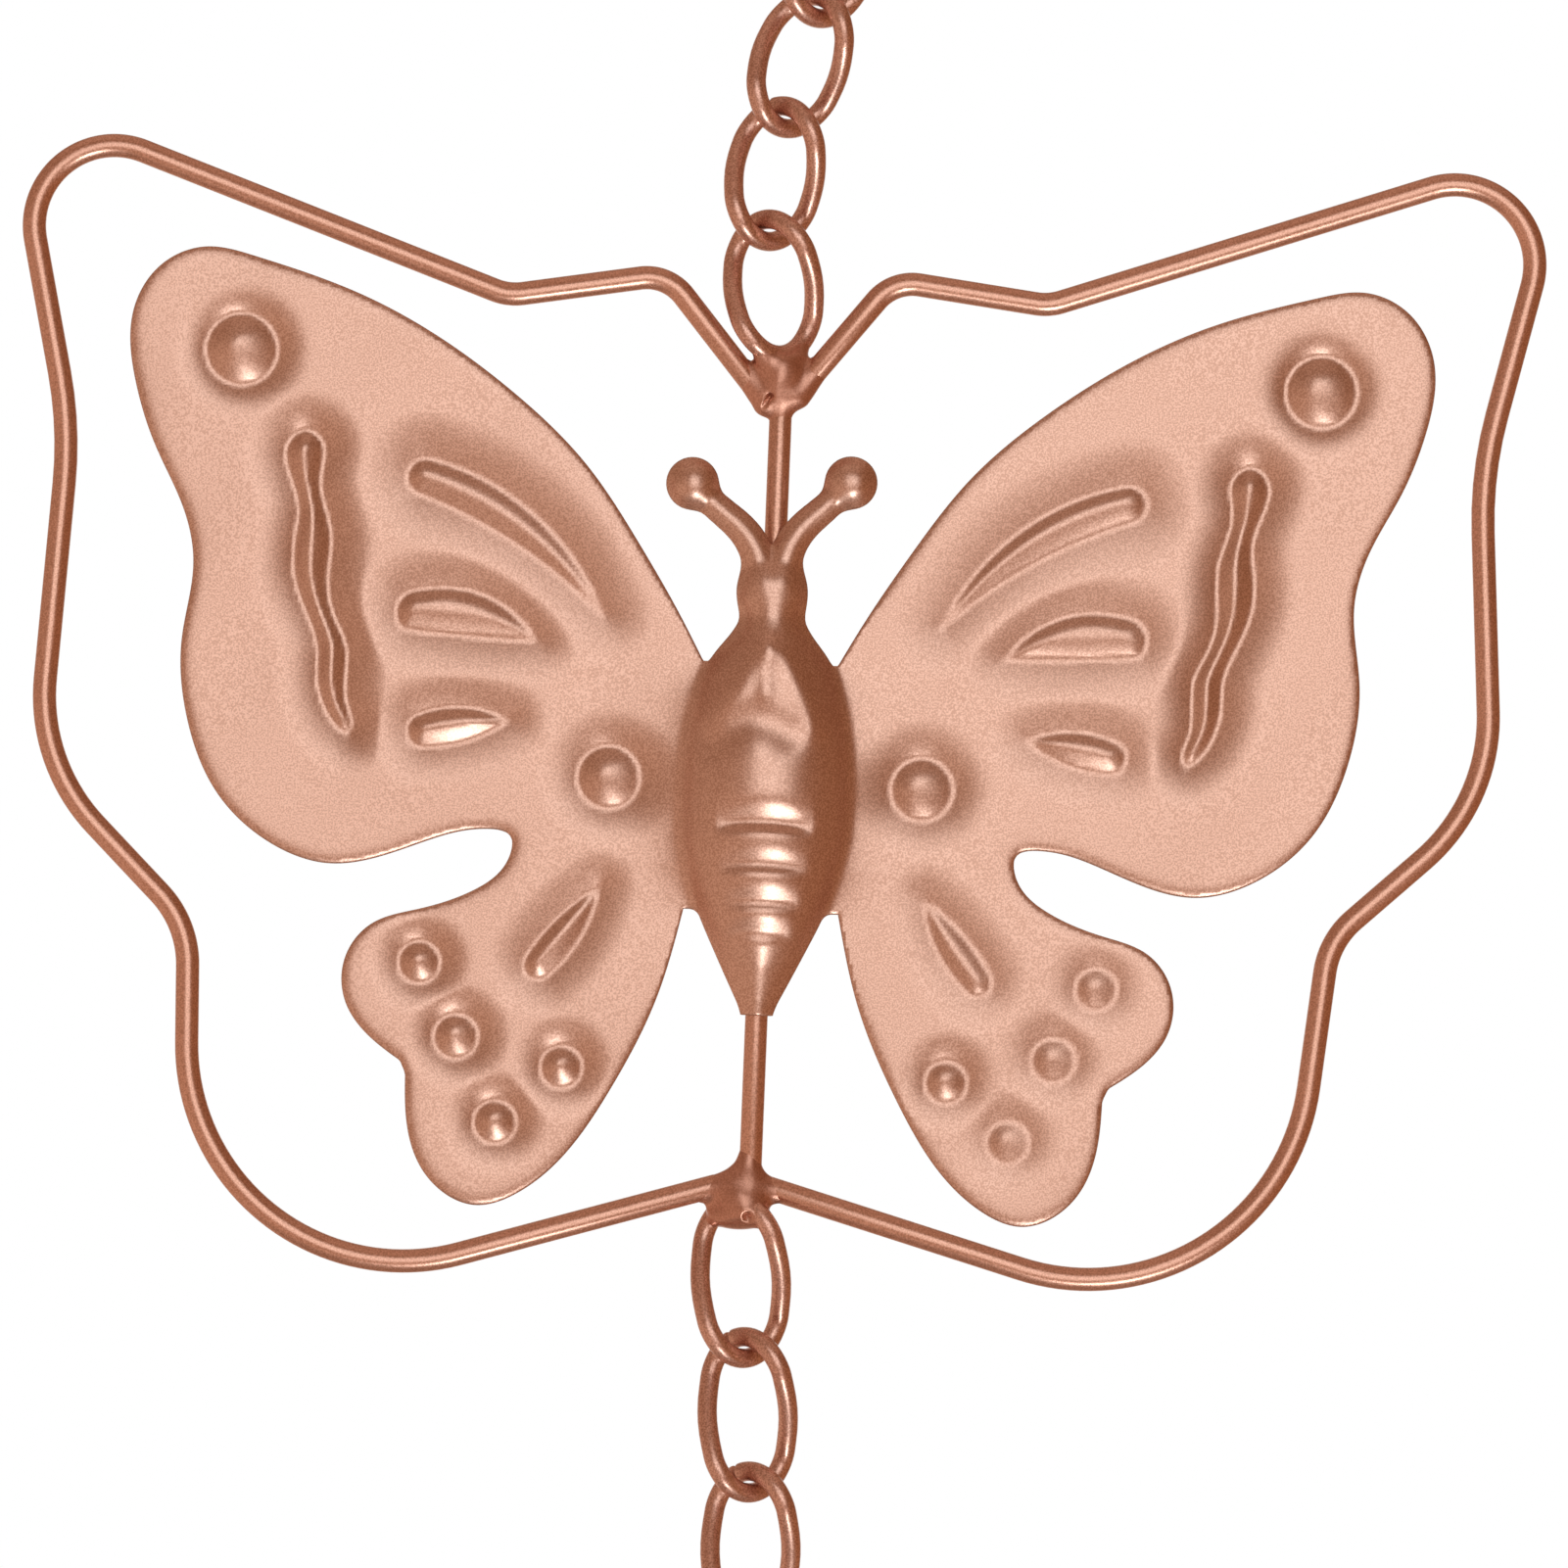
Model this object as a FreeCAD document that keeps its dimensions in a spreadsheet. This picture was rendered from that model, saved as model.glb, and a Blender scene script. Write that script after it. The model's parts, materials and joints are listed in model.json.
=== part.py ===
import FreeCAD, Part
import math
import os

Vector = FreeCAD.Vector
Rotation = FreeCAD.Rotation
Placement = FreeCAD.Placement

# One unit of a rain chain: a butterfly pressed from sheet, tacked to a rod inside an outline of
# bent wire, with chain links welded to both ends. Front is -Y, up is +Z, sizes in millimetres.
# The origin is the hang point, inside the upper bow of the topmost link.

driving_sizes = [
    ("outline_wire", 2.5),        # wire bent round the wings
    ("outline_width", 161.9),     # over the wire's outside
    ("rod_diameter", 2.4),
    ("rod_length", 87.4),
    ("link_wire", 2.1),
    ("link_width", 10.7),         # outside, as are both link lengths
    ("upper_link_length", 16.8),
    ("lower_link_length", 18.9),
    ("link_twist", 80.0),         # degrees, from a link's lower bow to its upper one
    ("link_play", 0.4),           # between two links' wires where they cross
    ("butt_gap", 0.5),            # between the cut ends of a link
    ("butt_angle", 22.0),         # degrees, from the crest of the upper bow to the cut
    ("weld_gap", 0.2),            # left between pieces for the weld to fill
    ("weld_radius", 3.7),
    ("weld_depth", 5.4),
    ("tack_radius", 1.0),
    ("sheet_thickness", 0.6),
    ("press_depth", 0.9),         # of a motif's outline, pressed in from the front
    ("press_skirt", 2.0),         # width of the slope outside that outline
    ("body_depth", 5.2),
    ("head_radius", 3.75),
    ("feeler_radius", 1.3),
    ("feeler_tip_radius", 2.75),
]

doc = FreeCAD.newDocument("rain_chain")
sheet = doc.addObject("Spreadsheet::Sheet", "sizes")
for row, (alias, value) in enumerate(driving_sizes, start=1):
    sheet.set(f"A{row}", alias)
    sheet.set(f"B{row}", str(value))
    sheet.setAlias(f"B{row}", alias)
doc.recompute()


def size(alias):
    return float(sheet.get(alias))


# Levels along the rod are measured from the middle of the butterfly's body
rod_bottom = -43.2
rod_top = rod_bottom + size("rod_length")
rod_radius = size("rod_diameter") / 2
link_wire = size("link_wire")
upper_length = size("upper_link_length")
lower_length = size("lower_link_length")

# Degrees that each link leans to the right, from the welded link at the rod outwards
upper_leans = (-9.0, 6.0, 14.9, 10.0)
lower_leans = (-5.8, -4.7, -2.3)
lower_weld_across = -1.5          # from the rod's axis to where the lower link is welded on


def along(lean):
    return Vector(math.sin(math.radians(lean)), 0, math.cos(math.radians(lean)))


def link_middles(start, length, leans, way):
    # way is 1 up the chain and -1 down it; where two links cross, their wires are the play apart
    reach = (length - link_wire) / 2
    wire_to_wire = link_wire + size("link_play")
    middle = start + along(leans[0]) * (way * length / 2)
    middles = [middle]
    for lean, next_lean in zip(leans, leans[1:]):
        far_wire = middle + along(lean) * (way * reach)
        crossing = along((lean + next_lean) / 2) * (way * wire_to_wire)
        middle = far_wire - crossing + along(next_lean) * (way * reach)
        middles.append(middle)
    return middles


upper_start = Vector(0, 0, rod_top + size("weld_gap"))
lower_start = Vector(lower_weld_across, 0, rod_bottom - size("weld_gap"))
upper_middles = link_middles(upper_start, upper_length, upper_leans, 1)
lower_middles = link_middles(lower_start, lower_length, lower_leans, -1)
hang_point = upper_middles[-1] + along(upper_leans[-1]) * (upper_length / 2 - link_wire)


def place(across, up, depth=0.0):
    return Vector(across, depth, up) - hang_point


def feature(name, shape):
    piece = doc.addObject("Part::Feature", name)
    piece.Shape = shape
    return piece


def fuse(name, pieces):
    joined = doc.addObject("Part::MultiFuse", name)
    joined.Shapes = pieces
    return joined


def cut(name, base, tool):
    piece = doc.addObject("Part::Cut", name)
    piece.Base = base
    piece.Tool = tool
    return piece


def loop_wire(points):
    return Part.makePolygon(points + points[:1])


def flat_sided(name, loops):
    # a closed solid through loops of as many points each, its sides in flats
    faces = [Part.Face(loop_wire(loops[0])), Part.Face(loop_wire(loops[-1]))]
    for lower, upper in zip(loops, loops[1:]):
        for index in range(len(lower)):
            start, end = lower[index - 1], lower[index]
            above_end, above_start = upper[index], upper[index - 1]
            faces.append(Part.Face(loop_wire([start, end, above_end])))
            faces.append(Part.Face(loop_wire([start, above_end, above_start])))
    shell = Part.makeShell(faces)
    shell.sewShape()
    solid = Part.makeSolid(shell)
    if solid.Volume < 0:
        solid.reverse()
    return feature(name, solid.removeSplitter())


# Wire: a many-sided section swept along straight runs, mitred where they turn

wire_sides = 10
same_area = math.sqrt(2 * math.pi / (wire_sides * math.sin(2 * math.pi / wire_sides)))


def swept_wire(name, points, radius):
    # radius is an expression; the section has as much metal as a round wire of that radius
    section = doc.addObject("Part::RegularPolygon", name + "_section")
    section.Polygon = wire_sides
    section.setExpression("Circumradius", f"({radius}) * {same_area}")
    section.Placement = Placement(points[0], Rotation(Vector(0, 0, 1), points[1] - points[0]))
    sweep = doc.addObject("Part::Sweep", name)
    sweep.Sections = [section]
    sweep.Spine = (feature(name + "_path", Part.makePolygon(points)), [])
    sweep.Solid = True
    sweep.Transition = "Right corner"
    return sweep


# Chain links: an oval of wire twisted about its long axis, its cut ends butted in the upper bow

bow_runs = 6
leg_runs = 2


def link_points(length):
    half_width = (size("link_width") - link_wire) / 2
    half_length = (length - link_wire) / 2
    straight_half = half_length - half_width
    butt = math.radians(size("butt_angle"))
    half_gap = size("butt_gap") / 2 / half_width
    left_end = butt + half_gap
    right_turn = math.pi / 2 + butt - half_gap

    flat = []
    for step in range(bow_runs // 2):
        turn = left_end + (math.pi / 2 - left_end) * step / (bow_runs // 2)
        flat.append((-half_width * math.sin(turn), straight_half + half_width * math.cos(turn)))
    for step in range(leg_runs + 1):
        flat.append((-half_width, straight_half - 2 * straight_half * step / leg_runs))
    for step in range(1, bow_runs):
        turn = math.pi * step / bow_runs
        flat.append((-half_width * math.cos(turn), -straight_half - half_width * math.sin(turn)))
    for step in range(leg_runs + 1):
        flat.append((half_width, -straight_half + 2 * straight_half * step / leg_runs))
    for step in range(1, bow_runs):
        turn = right_turn * step / (bow_runs - 1)
        flat.append((half_width * math.cos(turn), straight_half + half_width * math.sin(turn)))

    points = []
    for across, up in flat:
        twist = -math.radians(size("link_twist") / 2) * math.sin(math.pi / 2 * up / half_length)
        points.append(Vector(across * math.cos(twist), across * math.sin(twist), up))
    return points


def chain_links(labels, length, middles, leans):
    links = []
    for label, middle, lean in zip(labels, middles, leans):
        link = swept_wire(label, link_points(length), "sizes.link_wire / 2")
        link.Placement = Placement(middle - hang_point, Rotation(Vector(0, 1, 0), lean))
        links.append(link)
    return links


upper_links = chain_links(("top_welded_link", "upper_link_near", "upper_link_far", "hang_link"),
                          upper_length, upper_middles, upper_leans)
lower_links = chain_links(("bottom_welded_link", "lower_link", "tail_link"),
                          lower_length, lower_middles, lower_leans)


# Outline wire: bent by hand, so each half has bends of its own: across, up, bend radius,
# drawn for the width and rod below and stretched to the driving ones

drawn_width = 161.9
drawn_rod = 87.4
left_bends = [(-12.6, 53.6, 5), (-29.4, 50.7, 6), (-83.1, 69.5, 8.5), (-75.4, 34.8, 43),
              (-77.4, -0.9, 20), (-60.7, -17.3, 11), (-59.5, -60.1, 20.5)]
right_bends = [(11.4, 53.9, 5), (28.0, 51.9, 6), (82.6, 71.1, 8.5), (74.6, 36.0, 43),
               (76.9, 2.5, 20), (60.6, -13.0, 9), (56.1, -57.9, 21)]
top_end_drop = {-1: 3.0, 1: 2.0}  # of the wire's cut ends below the top of the rod
bottom_end_rise = 0.4             # of its other ends above the bottom of the rod
bottom_end_reach = {-1: 1.7, 1: 0.44}   # from the rod to those ends, in radii of the wire
run_angle = 12.0                  # degrees of a bend that one straight run stands for


def bent_path(bends, side):
    wire_radius = size("outline_wire") / 2
    top = (side * (rod_radius + 0.8 * wire_radius), rod_top - top_end_drop[side])
    bottom = (side * (rod_radius + bottom_end_reach[side] * wire_radius), rod_bottom + bottom_end_rise)
    wide = size("outline_width") / drawn_width
    tall = size("rod_length") / drawn_rod
    corners = [place(*top)]
    for across, up, radius in bends:
        corners.append(place(across * wide, rod_bottom + (up - rod_bottom) * tall))
    corners.append(place(*bottom))

    points = corners[:1]
    for before, corner, after, bend in zip(corners, corners[1:], corners[2:], bends):
        back = (before - corner).normalize()
        ahead = (after - corner).normalize()
        turn = math.pi - back.getAngle(ahead)
        reach = bend[2] * math.tan(turn / 2)
        centre = corner + (back + ahead).normalize() * (bend[2] / math.cos(turn / 2))
        start = corner + back * reach - centre
        end = corner + ahead * reach - centre
        runs = max(1, round(math.degrees(turn) / run_angle))
        for run in range(runs):
            swing = Rotation(start.cross(end), math.degrees(turn) * (run + 0.5) / runs)
            points.append(centre + swing.multVec(start) * (1 / math.cos(turn / runs / 2)))
    return points + corners[-1:]


left_wire = swept_wire("left_outline_wire", bent_path(left_bends, -1), "sizes.outline_wire / 2")
right_wire = swept_wire("right_outline_wire", bent_path(right_bends, 1), "sizes.outline_wire / 2")

rod = doc.addObject("Part::Cylinder", "centre_rod")
rod.setExpression("Radius", "sizes.rod_diameter / 2")
rod.setExpression("Height", "sizes.rod_length")
rod.Placement = Placement(place(0, rod_bottom), Rotation())


# Stamping, in its own frame: the sheet's front face is y = 0 and its back y = thickness

thickness = size("sheet_thickness")
notch_top = (6.95, 12.4)
notch_bottom = (8.2, -13.6)
wing_edge = [
    notch_top, (9.9, 17.7), (14.55, 25.1), (20.3, 33.0), (28.0, 40.1), (44.8, 50.1), (56.5, 53.8),
    (61.6, 54.55), (66.2, 52.5), (69.0, 47.6), (68.5, 40.0), (66.0, 33.0), (63.0, 27.0), (61.6, 21.0),
    (62.5, 13.0), (61.6, 4.4), (58.2, -3.2), (52.6, -8.2), (46.0, -10.3), (40.1, -9.2), (34.2, -6.95),
    (29.6, -6.0), (26.8, -6.7), (26.9, -8.9), (30.3, -12.4), (36.5, -14.8), (41.2, -16.5),
    (43.9, -20.3), (43.6, -25.0), (40.8, -28.6), (37.6, -30.9),
]
hind_edge = [(37.0, -32.2), (36.7, -37.0), (34.3, -43.0), (29.0, -45.9), (24.7, -44.5), (15.15, -33.0),
             (10.6, -23.0), notch_bottom]
edge_flatness = 0.12              # how far a straight run may lie from the drawn curve


def at(across, up, depth=0.0):
    return Vector(across, depth, up)


def wing_points():
    points = []
    for edge in (wing_edge, hind_edge):
        curve = Part.BSplineCurve()
        curve.interpolate([at(across, up) for across, up in edge])
        points += curve.toShape().discretize(QuasiDeflection=edge_flatness)
    return points


right_wing = wing_points()
left_wing = [Vector(-point.x, 0, point.z) for point in reversed(right_wing)]
plate = doc.addObject("Part::Extrusion", "plate")
plate.Base = feature("wing_outline", loop_wire(right_wing + left_wing))
plate.DirMode = "Custom"
plate.Dir = Vector(0, 1, 0)
plate.setExpression("LengthFwd", "sizes.sheet_thickness")
plate.Solid = True

# Round motifs: across, up, radius of the outline
round_motifs = [
    (57.3, 43.8, 3.8), (16.6, 0.0, 3.3),
    (35.9, -20.4, 2.2), (31.7, -28.1, 2.35), (20.4, -30.9, 2.2), (27.2, -37.0, 2.25),
]
# Long motifs: from the tip round, each corner and the point that the arc after it passes through
large_crescent = [(18.1, 17.3), (27.2, 28.6), (36.8, 32.9), (39.2, 31.2), (38.2, 29.4), (29.0, 24.4)]
middle_crescent = [(25.0, 14.2), (31.0, 18.8), (37.4, 19.0), (39.8, 16.6), (39.0, 14.9), (32.4, 14.4)]
small_leaf = [(27.6, 5.6), (32.2, 6.7), (36.9, 5.8), (38.1, 4.0), (36.7, 2.5), (31.9, 3.3)]
hind_leaf = [(17.3, -11.8), (21.7, -15.5), (24.5, -19.3), (24.3, -21.3), (22.1, -21.0), (19.2, -17.4)]
wavy_stripe = [(44.4, 3.8), (47.2, 9.0), (48.2, 14.0), (50.3, 18.6), (50.9, 23.5), (51.9, 28.6),
               (51.8, 32.5), (50.0, 35.5), (48.3, 33.2), (47.6, 28.4), (47.2, 23.4), (46.5, 16.8),
               (45.2, 13.0), (45.1, 8.6)]
long_motifs = [large_crescent, middle_crescent, small_leaf, hind_leaf, wavy_stripe]
round_sides = 12
arc_sides = 3
foot_share = 0.92                 # of a motif's outline, where its tent begins
top_share = 0.35                  # of the outline, at the top of that tent


def round_loop(across, up, radius):
    turns = [2 * math.pi * side / round_sides for side in range(round_sides)]
    return [(across + radius * math.cos(turn), up + radius * math.sin(turn)) for turn in turns]


def arc_loop(corners):
    points = []
    for first in range(0, len(corners), 2):
        ends = corners[first], corners[first + 1], corners[(first + 2) % len(corners)]
        arc = Part.Arc(*(at(*corner) for corner in ends)).toShape()
        points += [(point.x, point.z) for point in arc.discretize(arc_sides + 1)[:-1]]
    return points


def grown(points, room):
    # each point moved out by room, square to the line through its neighbours
    area = sum(a[0] * b[1] - b[0] * a[1] for a, b in zip(points, points[1:] + points[:1]))
    moved = []
    for index, (across, up) in enumerate(points):
        before = points[index - 1]
        after = points[(index + 1) % len(points)]
        run = (after[0] - before[0], after[1] - before[1])
        reach = math.copysign(room, area) / math.hypot(*run)
        moved.append((across + run[1] * reach, up - run[0] * reach))
    return moved


def shrunk(points, share):
    middle = [sum(values) / len(points) for values in zip(*points)]
    return [(middle[0] + share * (across - middle[0]), middle[1] + share * (up - middle[1]))
            for across, up in points]


def narrowed(points, share):
    # each point of a long loop drawn to the one across from it, and the tip to its two neighbours
    tip_mate = [(first + last) / 2 for first, last in zip(points[1], points[-1])]
    mates = [tip_mate] + points[:0:-1]
    pulls = [1 - share] + [(1 - share) / 2] * (len(points) - 1)
    return [(across + pull * (mate[0] - across), up + pull * (mate[1] - up))
            for (across, up), mate, pull in zip(points, mates, pulls)]


def level_with(points, depth):
    return [at(across, up, depth) for across, up in points]


# Each outline is pressed in: the sheet slopes down to it outside and rises in a tent inside
motifs = [(round_loop(*motif), shrunk) for motif in round_motifs]
motifs += [(arc_loop(motif), narrowed) for motif in long_motifs]
pressed_to = thickness + size("press_depth")
moats = []
tents = []
for side, hand in ((1, "right"), (-1, "left")):
    for number, (outline, drawn_in) in enumerate(motifs):
        loop = [(side * across, up) for across, up in outline]
        skirt = grown(loop, size("press_skirt"))
        foot = drawn_in(loop, foot_share)
        top = drawn_in(loop, top_share)
        moats.append(flat_sided(f"{hand}_moat{number}", [level_with(skirt, thickness),
                                                         level_with(loop, pressed_to)]))
        tents.append(flat_sided(f"{hand}_tent{number}", [level_with(foot, pressed_to),
                                                         level_with(top, thickness)]))
relief = cut("relief", fuse("moats", moats), fuse("tents", tents))
doc.recompute()
relief_in_front = feature("relief_in_front", relief.Shape.copy())
relief_in_front.Placement = Placement(Vector(0, -thickness, 0), Rotation())

# Body: half-round sections from tail to neck, pinched between the rings of the abdomen:
# up, half width, share of the body's depth
body_sections = [
    (-24.6, 1.5, 0.22), (-20.0, 3.8, 0.45), (-14.6, 6.4, 0.79), (-12.6, 7.3, 0.80), (-10.6, 8.0, 0.93),
    (-8.6, 8.6, 0.89), (-6.4, 9.1, 1.0), (-4.2, 9.3, 0.94), (-2.0, 9.4, 1.03), (3.4, 9.2, 0.99),
    (5.4, 8.9, 0.90), (8.4, 8.3, 0.92), (12.4, 6.9, 0.74), (15.0, 4.9, 0.56), (17.0, 3.2, 0.42),
]
hollow_sections = [
    (-23.6, 1.9, 0.24), (-20.0, 3.8, 0.45), (-14.6, 6.4, 0.74), (-8.6, 8.6, 0.87), (-2.0, 9.4, 0.94),
    (5.4, 8.9, 0.89), (12.4, 6.9, 0.72), (17.0, 3.2, 0.42),
]
half_round_sides = 8


def half_round(up, half_width, height, back):
    turns = [math.pi * side / half_round_sides for side in range(half_round_sides + 1)]
    dome = [Vector(half_width * math.cos(turn), -height * math.sin(turn), up) for turn in turns]
    return dome + [Vector(-half_width, back, up), Vector(half_width, back, up)]


body_depth = size("body_depth")
wall = 1.3 * thickness            # across the front of the body, where it is pressed deepest
body = flat_sided("body", [half_round(up, half_width, body_depth * share, thickness)
                           for up, half_width, share in body_sections])
body_hollow = flat_sided("body_hollow", [half_round(up, half_width - thickness, body_depth * share - wall,
                                                    thickness + 1)
                                         for up, half_width, share in hollow_sections])

# Head and feelers: half balls and half-round stems, hollow behind
head_up = 20.0
feeler_tip = (8.4, 31.85)
feeler_route = [(0.9, 22.6), (3.1, 26.9), feeler_tip]
ball_levels = (0.0, 0.35, 0.7, 1.05, 1.4)     # radians from the sheet's back to the ball's crest


def half_ball(name, across, up, radius):
    loops = []
    for level in ball_levels:
        loop = round_loop(across, up, radius * math.cos(level))
        loops.append(level_with(loop, thickness - radius * math.sin(level)))
    return flat_sided(name, loops)


head_radius = size("head_radius")
tip_radius = size("feeler_tip_radius")
raised = [plate, relief, body, half_ball("head", 0, head_up, head_radius)]
hollows = [relief_in_front, body_hollow, half_ball("head_hollow", 0, head_up, head_radius - thickness)]
for side, hand in ((1, "right"), (-1, "left")):
    route = [at(side * across, up, thickness) for across, up in feeler_route]
    tip = (side * feeler_tip[0], feeler_tip[1])
    raised.append(swept_wire(f"{hand}_feeler", route, "sizes.feeler_radius"))
    raised.append(half_ball(f"{hand}_tip", *tip, tip_radius))
    hollows.append(swept_wire(f"{hand}_feeler_hollow", route, "sizes.feeler_radius - sizes.sheet_thickness"))
    hollows.append(half_ball(f"{hand}_tip_hollow", *tip, tip_radius - thickness))

# what the feelers' round stems have behind the sheet is cut away
behind = doc.addObject("Part::Box", "behind")
behind.setExpression("Length", "20 * sizes.feeler_radius")
behind.setExpression("Width", "4 * sizes.feeler_radius")
behind.setExpression("Height", "12 * sizes.feeler_radius")
behind.Placement = Placement(at(-10 * size("feeler_radius"), head_up, thickness), Rotation())

stamping = cut("butterfly_stamping", fuse("pressed", raised), fuse("hollows", hollows + [behind]))
stamping.Placement = Placement(place(0, 0, -rod_radius - thickness), Rotation())


# Welds: a lump round each joint, less the pieces that are buried in it

weld_levels = ((-0.5, 0.55), (-0.22, 1.0), (0.22, 1.0), (0.5, 0.55))   # shares of depth and radius
weld_sides = 8


def weld(name, middle, radius, depth, pieces):
    loops = []
    for along, share in weld_levels:
        turns = [2 * math.pi * side / weld_sides for side in range(weld_sides)]
        loops.append([middle + Vector(radius * share * math.cos(turn), depth * along,
                                      radius * share * math.sin(turn)) for turn in turns])
    lump = flat_sided(name + "_lump", loops)
    for number, piece in enumerate(pieces):
        lump = cut(f"{name}_cut{number}", lump, piece)
    lump.Label = name
    return lump


weld_radius = size("weld_radius")
weld_depth = size("weld_depth")
tack_radius = size("tack_radius")
top_weld = weld("top_weld", place(0, rod_top - 1.2), weld_radius, weld_depth,
                [left_wire, right_wire, rod, upper_links[0]])
bottom_weld = weld("bottom_weld", place(-0.9, rod_bottom - 1.1), weld_radius, weld_depth,
                   [left_wire, right_wire, rod, lower_links[0]])
head_tack = weld("head_tack", place(0, head_up + head_radius - 1.15, -rod_radius), tack_radius,
                 2 * tack_radius, [rod, stamping])
tail_tack = weld("tail_tack", place(0, body_sections[0][0] + 2.2, -rod_radius), tack_radius,
                 2 * tack_radius, [rod, stamping])

sub_parts = upper_links + lower_links + [left_wire, right_wire, rod, stamping,
                                         top_weld, bottom_weld, head_tack, tail_tack]
doc.recompute()
for piece in doc.Objects:
    if "Invalid" in piece.State or "Error" in piece.State:
        raise RuntimeError(f"{piece.Label} failed: {piece.State}")
os.makedirs("parts", exist_ok=True)
for piece in sub_parts:
    shape = piece.Shape
    if shape.isNull() or not shape.isValid():
        raise RuntimeError(f"{piece.Label} has no valid shape")
    print(piece.Label, len(shape.Solids), round(shape.Volume, 2), shape.BoundBox)
    shape.exportStep(os.path.join("parts", piece.Label + ".step"))
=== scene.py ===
import itertools
import json
import math

import bpy
import numpy as np
from mathutils import Matrix, Vector

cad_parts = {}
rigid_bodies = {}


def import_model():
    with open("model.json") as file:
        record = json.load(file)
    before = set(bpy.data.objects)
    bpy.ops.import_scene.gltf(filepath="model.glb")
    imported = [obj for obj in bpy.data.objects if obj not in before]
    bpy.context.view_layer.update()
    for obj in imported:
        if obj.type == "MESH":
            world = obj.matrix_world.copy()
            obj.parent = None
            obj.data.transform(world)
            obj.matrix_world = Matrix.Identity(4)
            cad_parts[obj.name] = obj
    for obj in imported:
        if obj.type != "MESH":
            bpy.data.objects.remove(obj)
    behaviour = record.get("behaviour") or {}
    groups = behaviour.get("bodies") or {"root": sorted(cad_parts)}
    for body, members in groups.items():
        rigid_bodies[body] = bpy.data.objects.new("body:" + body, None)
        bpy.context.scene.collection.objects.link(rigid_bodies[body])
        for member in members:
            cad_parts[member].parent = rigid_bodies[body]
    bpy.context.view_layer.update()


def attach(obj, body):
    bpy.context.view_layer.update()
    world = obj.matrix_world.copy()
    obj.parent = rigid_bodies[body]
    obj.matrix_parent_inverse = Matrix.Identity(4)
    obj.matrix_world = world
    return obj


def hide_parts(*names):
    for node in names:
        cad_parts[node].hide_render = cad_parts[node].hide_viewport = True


for leftover in list(bpy.data.objects):
    bpy.data.objects.remove(leftover)
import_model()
scene = bpy.context.scene
scene.view_settings.view_transform = "Standard"
print("frame loaded")

# Sizes are in millimetres from the middle of the butterfly's body, and points are across, depth and up;
# the frame's origin is the hang point, in metres
hangAcross, hangUp = 4.29590525, 94.82502891
metresEach = 0.001
rodTop, rodBottom, rodRadius = 44.2, -43.2, 1.2
wireRadius, linkRadius, sheet = 1.25, 1.05, 0.6
depthWays = np.array([[0.0, 1.0, 0.0]])


class Value:
    # a node's output, with operators that add Math nodes
    def __init__(self, tree, socket):
        self.tree = tree
        self.socket = socket

    @staticmethod
    def make(tree, kind, settings, sockets, output=0):
        node = tree.nodes.new(kind)
        for key, setting in settings.items():
            setattr(node, key, setting)
        for key, given in sockets.items():
            if isinstance(given, Value):
                tree.links.new(given.socket, node.inputs[key])
            else:
                node.inputs[key].default_value = given
        return Value(tree, node.outputs[output]) if node.outputs else node

    def other(self, output):
        return Value(self.tree, self.socket.node.outputs[output])

    def math(self, operation, *given):
        return Value.make(self.tree, "ShaderNodeMath", {"operation": operation}, dict(enumerate(given)))

    def __add__(self, other):
        return self.math("ADD", self, other)

    def __radd__(self, other):
        return self.math("ADD", other, self)

    def __sub__(self, other):
        return self.math("SUBTRACT", self, other)

    def __rsub__(self, other):
        return self.math("SUBTRACT", other, self)

    def __mul__(self, other):
        return self.math("MULTIPLY", self, other)

    def __rmul__(self, other):
        return self.math("MULTIPLY", other, self)

    def smooth(self, low, high):
        return Value.make(self.tree, "ShaderNodeMapRange", {"interpolation_type": "SMOOTHSTEP"},
                          {0: self, 1: low, 2: high, 3: 0.0, 4: 1.0})


def mixed(tree, share, first, second):
    return Value.make(tree, "ShaderNodeMix", {"data_type": "RGBA"},
                      {0: share, 6: (*first, 1) if isinstance(first, tuple) else first, 7: (*second, 1)}, 2)


def noise(tree, place, scale, detail):
    return Value.make(tree, "ShaderNodeTexNoise", {}, {"Vector": place, "Scale": scale, "Detail": detail})


# Copper paint of each slot, and what all of them share; lengths here are in metres
paintSkin = {"flakeScale": 5600.0, "flakeDetail": 1.0, "cloudDetail": 2.0, "roughSwing": 0.1,
             "bump": 0.12, "bumpDistance": 0.00005}
paintLooks = {
    "pressed_sheet": {"name": "sheetPaint", "dark": (0.60, 0.405, 0.322), "light": (0.82, 0.607, 0.512),
                      "flake": 5.6, "cloud": 0.9, "cloudScale": 28.0, "rough": 0.36},
    "frame_wire": {"name": "wirePaint", "dark": (0.59, 0.365, 0.275), "light": (0.83, 0.55, 0.445),
                   "flake": 4.0, "cloud": 0.5, "cloudScale": 90.0, "rough": 0.32},
    "chain_wire": {"name": "chainPaint", "dark": (0.54, 0.34, 0.27), "light": (0.87, 0.61, 0.52),
                   "flake": 4.0, "cloud": 0.5, "cloudScale": 120.0, "rough": 0.34},
    "weld": {"name": "weldPaint", "dark": (0.50, 0.28, 0.208), "light": (0.73, 0.45, 0.352),
             "flake": 2.4, "cloud": 0.8, "cloudScale": 200.0, "rough": 0.36},
}


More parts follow.
